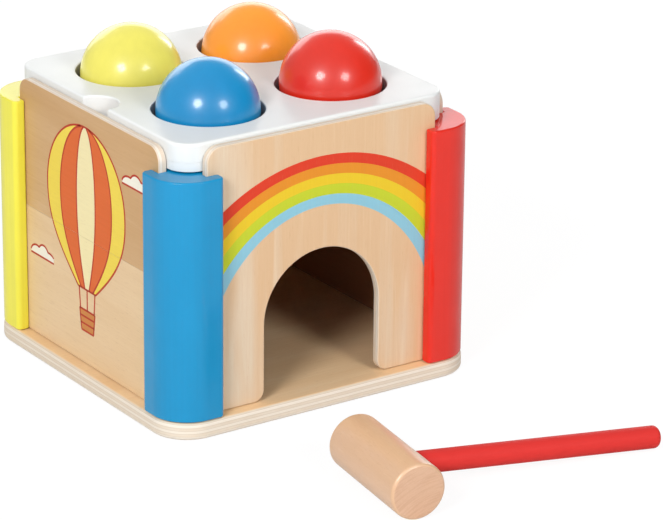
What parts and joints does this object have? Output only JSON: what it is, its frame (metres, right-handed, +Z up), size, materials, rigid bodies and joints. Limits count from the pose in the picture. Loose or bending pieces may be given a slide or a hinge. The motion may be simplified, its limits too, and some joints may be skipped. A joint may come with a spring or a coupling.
{
  "type": "pounding cube",
  "caption": "Wooden pounding toy: box with coloured corner posts, balls in elastic seats on a white top, an arched doorway where they roll out, slide-in walls and a small hammer.",
  "frame": {"origin": "middle of the base board's underside, on the surface the toy stands on", "axes": "+Z up, -Y out of the doorway, +X to the right as seen from the doorway"},
  "size_m": [0.1751, 0.2783, 0.1544],
  "materials": {
    "plywood": "sanded plywood with clear matt lacquer",
    "front_veneer": "pale upright grain, matt lacquer, printed",
    "side_veneer": "lying grain, matt lacquer, printed",
    "white_paint": "satin paint",
    "blue_paint": "satin paint",
    "red_paint": "satin paint",
    "yellow_paint": "satin paint",
    "orange_paint": "satin paint",
    "blue_gloss": "gloss paint",
    "red_gloss": "gloss paint",
    "yellow_gloss": "gloss paint",
    "orange_gloss": "gloss paint",
    "beech": "sanded, clear matt lacquer",
    "elastic": "matt",
    "zinc": "bright zinc plated"
  },
  "bodies": {
    "frame": {"base_board": "plywood", "post_blue": "blue_paint", "post_red": "red_paint", "post_yellow": "yellow_paint", "post_orange": "orange_paint", "front_panel": "front_veneer", "top_plate": "white_paint", "seat_plate": "white_paint", "seat_ring_blue": "elastic", "seat_ring_red": "elastic", "seat_ring_yellow": "elastic", "seat_ring_orange": "elastic", "dowel_blue": "beech", "dowel_red": "beech", "dowel_yellow": "beech", "dowel_orange": "beech", "screw_blue": "zinc", "screw_red": "zinc", "screw_yellow": "zinc", "screw_orange": "zinc"},
    "blue_ball": {"ball_blue": "blue_gloss"},
    "red_ball": {"ball_red": "red_gloss"},
    "yellow_ball": {"ball_yellow": "yellow_gloss"},
    "orange_ball": {"ball_orange": "orange_gloss"},
    "left_lower_wall": {"left_panel_lower": "side_veneer"},
    "left_upper_wall": {"left_panel_upper": "side_veneer"},
    "right_lower_wall": {"right_panel_lower": "side_veneer"},
    "right_upper_wall": {"right_panel_upper": "side_veneer"},
    "back_lower_wall": {"back_panel_lower": "side_veneer"},
    "back_upper_wall": {"back_panel_upper": "side_veneer"},
    "hammer": {"hammer_head": "beech", "hammer_handle": "red_gloss"}
  },
  "joints": [
    {"name": "blue_ball_drop", "type": "slide", "parent": "frame", "child": "blue_ball", "axis": [0, 0, 1], "range_m": [-0.099, 0.045], "deforming": ["seat_ring_blue"]},
    {"name": "red_ball_drop", "type": "slide", "parent": "frame", "child": "red_ball", "axis": [0, 0, 1], "range_m": [-0.1, 0.045], "deforming": ["seat_ring_red"]},
    {"name": "yellow_ball_drop", "type": "slide", "parent": "frame", "child": "yellow_ball", "axis": [0, 0, 1], "range_m": [-0.0975, 0.045], "deforming": ["seat_ring_yellow"]},
    {"name": "orange_ball_drop", "type": "slide", "parent": "frame", "child": "orange_ball", "axis": [0, 0, 1], "range_m": [-0.0965, 0.045], "deforming": ["seat_ring_orange"]},
    {"name": "left_wall_slide", "type": "slide", "parent": "frame", "child": "left_lower_wall", "axis": [0, 0, 1], "range_m": [0, 0.125]},
    {"name": "left_upper_slide", "type": "slide", "parent": "left_lower_wall", "child": "left_upper_wall", "axis": [0, 0, 1], "range_m": [0, 0.065]},
    {"name": "right_wall_slide", "type": "slide", "parent": "frame", "child": "right_lower_wall", "axis": [0, 0, 1], "range_m": [0, 0.125]},
    {"name": "right_upper_slide", "type": "slide", "parent": "right_lower_wall", "child": "right_upper_wall", "axis": [0, 0, 1], "range_m": [0, 0.065]},
    {"name": "back_wall_slide", "type": "slide", "parent": "frame", "child": "back_lower_wall", "axis": [0, 0, 1], "range_m": [0, 0.125]},
    {"name": "back_upper_slide", "type": "slide", "parent": "back_lower_wall", "child": "back_upper_wall", "axis": [0, 0, 1], "range_m": [0, 0.065]},
    {"name": "hammer_lift", "type": "slide", "parent": "frame", "child": "hammer", "axis": [0, 0, 1], "range_m": [0, 0.2]}
  ]
}
